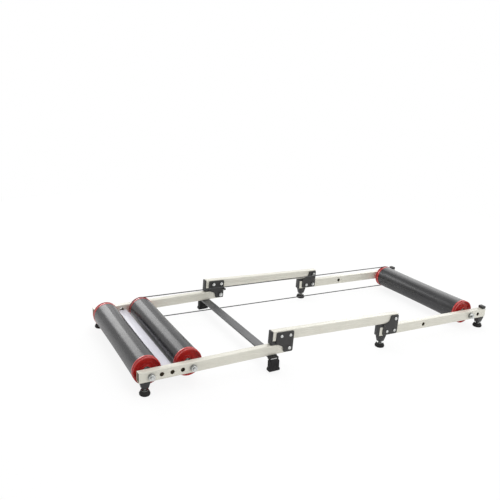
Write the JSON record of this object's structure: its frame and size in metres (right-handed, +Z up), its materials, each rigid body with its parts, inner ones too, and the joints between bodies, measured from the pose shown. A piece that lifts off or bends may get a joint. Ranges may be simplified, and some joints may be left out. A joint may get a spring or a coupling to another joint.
{
  "type": "bicycle training rollers",
  "caption": "Folding bicycle rollers: two rear drums, a belt-driven front drum and hinged rail sections on screw feet.",
  "frame": {"origin": "on the floor, under the middle of the unfolded trainer's bounding box", "axes": "+X from the rear rollers to the front roller, +Y to the belt side, +Z up"},
  "size_m": [1.2874, 0.504, 0.1209],
  "materials": {
    "cream_paint": "semi-gloss",
    "charcoal_plastic": "satin",
    "red_plastic": "gloss",
    "black_steel": "satin",
    "black_plastic": "satin",
    "black_rubber": "matte",
    "grey_steel": "satin",
    "pale_steel": "satin",
    "bright_zinc": "zinc plated",
    "belt_rubber": "matte"
  },
  "bodies": {
    "middle_frame": {"middle_rail_left": "cream_paint", "middle_rail_right": "cream_paint", "middle_tail_fitting_left": "black_plastic", "middle_tail_fitting_right": "black_plastic", "rear_hinge_plate_outer_left": "black_steel", "rear_hinge_plate_outer_right": "black_steel", "rear_hinge_plate_inner_left": "black_steel", "rear_hinge_plate_inner_right": "black_steel", "rear_hinge_pivot_bolt_left": "bright_zinc", "rear_hinge_pivot_bolt_right": "bright_zinc", "belt_peg": "black_steel", "drive_belt": "belt_rubber"},
    "rear_frame": {"rear_rail_left": "cream_paint", "rear_rail_right": "cream_paint", "rear_end_fitting_left": "black_plastic", "rear_end_fitting_right": "black_plastic", "block_foot_left": "black_rubber", "block_foot_right": "black_rubber", "dark_crossbar": "grey_steel", "pale_crossbar": "pale_steel", "rear_axle": "bright_zinc", "middle_axle": "bright_zinc"},
    "front_frame": {"front_rail_left": "cream_paint", "front_rail_right": "cream_paint", "front_tail_fitting_left": "black_plastic", "front_tail_fitting_right": "black_plastic", "front_end_fitting_left": "black_plastic", "front_end_fitting_right": "black_plastic", "front_hinge_plate_outer_left": "black_steel", "front_hinge_plate_outer_right": "black_steel", "front_hinge_plate_inner_left": "black_steel", "front_hinge_plate_inner_right": "black_steel", "front_hinge_pivot_bolt_left": "bright_zinc", "front_hinge_pivot_bolt_right": "bright_zinc", "front_axle": "bright_zinc"},
    "rear_roller": {"rear_roller_drum": "charcoal_plastic", "rear_roller_cap_left": "red_plastic", "rear_roller_cap_right": "red_plastic", "rear_roller_bearing_left": "bright_zinc", "rear_roller_bearing_right": "bright_zinc"},
    "middle_roller": {"middle_roller_drum": "charcoal_plastic", "middle_roller_cap_left": "red_plastic", "middle_roller_cap_right": "red_plastic", "middle_roller_bearing_left": "bright_zinc", "middle_roller_bearing_right": "bright_zinc"},
    "front_roller": {"front_roller_drum": "charcoal_plastic", "front_roller_cap_left": "red_plastic", "front_roller_cap_right": "red_plastic", "front_roller_bearing_left": "bright_zinc", "front_roller_bearing_right": "bright_zinc"},
    "rear_foot_left_screw": {"rear_foot_left": "black_rubber"},
    "rear_foot_right_screw": {"rear_foot_right": "black_rubber"},
    "centre_foot_left_screw": {"centre_foot_left": "black_rubber"},
    "centre_foot_right_screw": {"centre_foot_right": "black_rubber"},
    "front_foot_left_screw": {"front_foot_left": "black_rubber"},
    "front_foot_right_screw": {"front_foot_right": "black_rubber"}
  },
  "joints": [
    {"name": "rear_fold", "type": "hinge", "parent": "middle_frame", "child": "rear_frame", "pos_m": [-0.1795, 0, 0.0645], "axis": [0, -1, 0], "range_deg": [0, 176.3], "deforming": ["drive_belt"]},
    {"name": "front_fold", "type": "hinge", "parent": "middle_frame", "child": "front_frame", "pos_m": [0.22131, 0, 0.09541], "axis": [0, -1, 0], "range_deg": [0, 179.12], "deforming": ["drive_belt"]},
    {"name": "rear_roller_spin", "type": "hinge", "parent": "rear_frame", "child": "rear_roller", "pos_m": [-0.60338, 0, 0.05462], "axis": [0, 1, 0], "continuous": true},
    {"name": "middle_roller_spin", "type": "hinge", "parent": "rear_frame", "child": "middle_roller", "pos_m": [-0.48342, 0, 0.05742], "axis": [0, 1, 0], "continuous": true},
    {"name": "front_roller_spin", "type": "hinge", "parent": "front_frame", "child": "front_roller", "pos_m": [0.57, 0, 0.05286], "axis": [0, 1, 0], "continuous": true},
    {"name": "rear_foot_left_height", "type": "slide", "parent": "rear_frame", "child": "rear_foot_left_screw", "axis": [0, 0, 1], "range_m": [-0.008, 0.004]},
    {"name": "rear_foot_right_height", "type": "slide", "parent": "rear_frame", "child": "rear_foot_right_screw", "axis": [0, 0, 1], "range_m": [-0.008, 0.004]},
    {"name": "centre_foot_left_height", "type": "slide", "parent": "front_frame", "child": "centre_foot_left_screw", "axis": [0, 0, 1], "range_m": [-0.008, 0.004]},
    {"name": "centre_foot_right_height", "type": "slide", "parent": "front_frame", "child": "centre_foot_right_screw", "axis": [0, 0, 1], "range_m": [-0.008, 0.004]},
    {"name": "front_foot_left_height", "type": "slide", "parent": "front_frame", "child": "front_foot_left_screw", "axis": [0, 0, 1], "range_m": [-0.008, 0.002]},
    {"name": "front_foot_right_height", "type": "slide", "parent": "front_frame", "child": "front_foot_right_screw", "axis": [0, 0, 1], "range_m": [-0.008, 0.002]}
  ],
  "couplings": [
    {"joint": "front_fold", "follows": "rear_fold", "ratio": 1.0159},
    {"joint": "front_roller_spin", "follows": "middle_roller_spin", "ratio": 1}
  ]
}
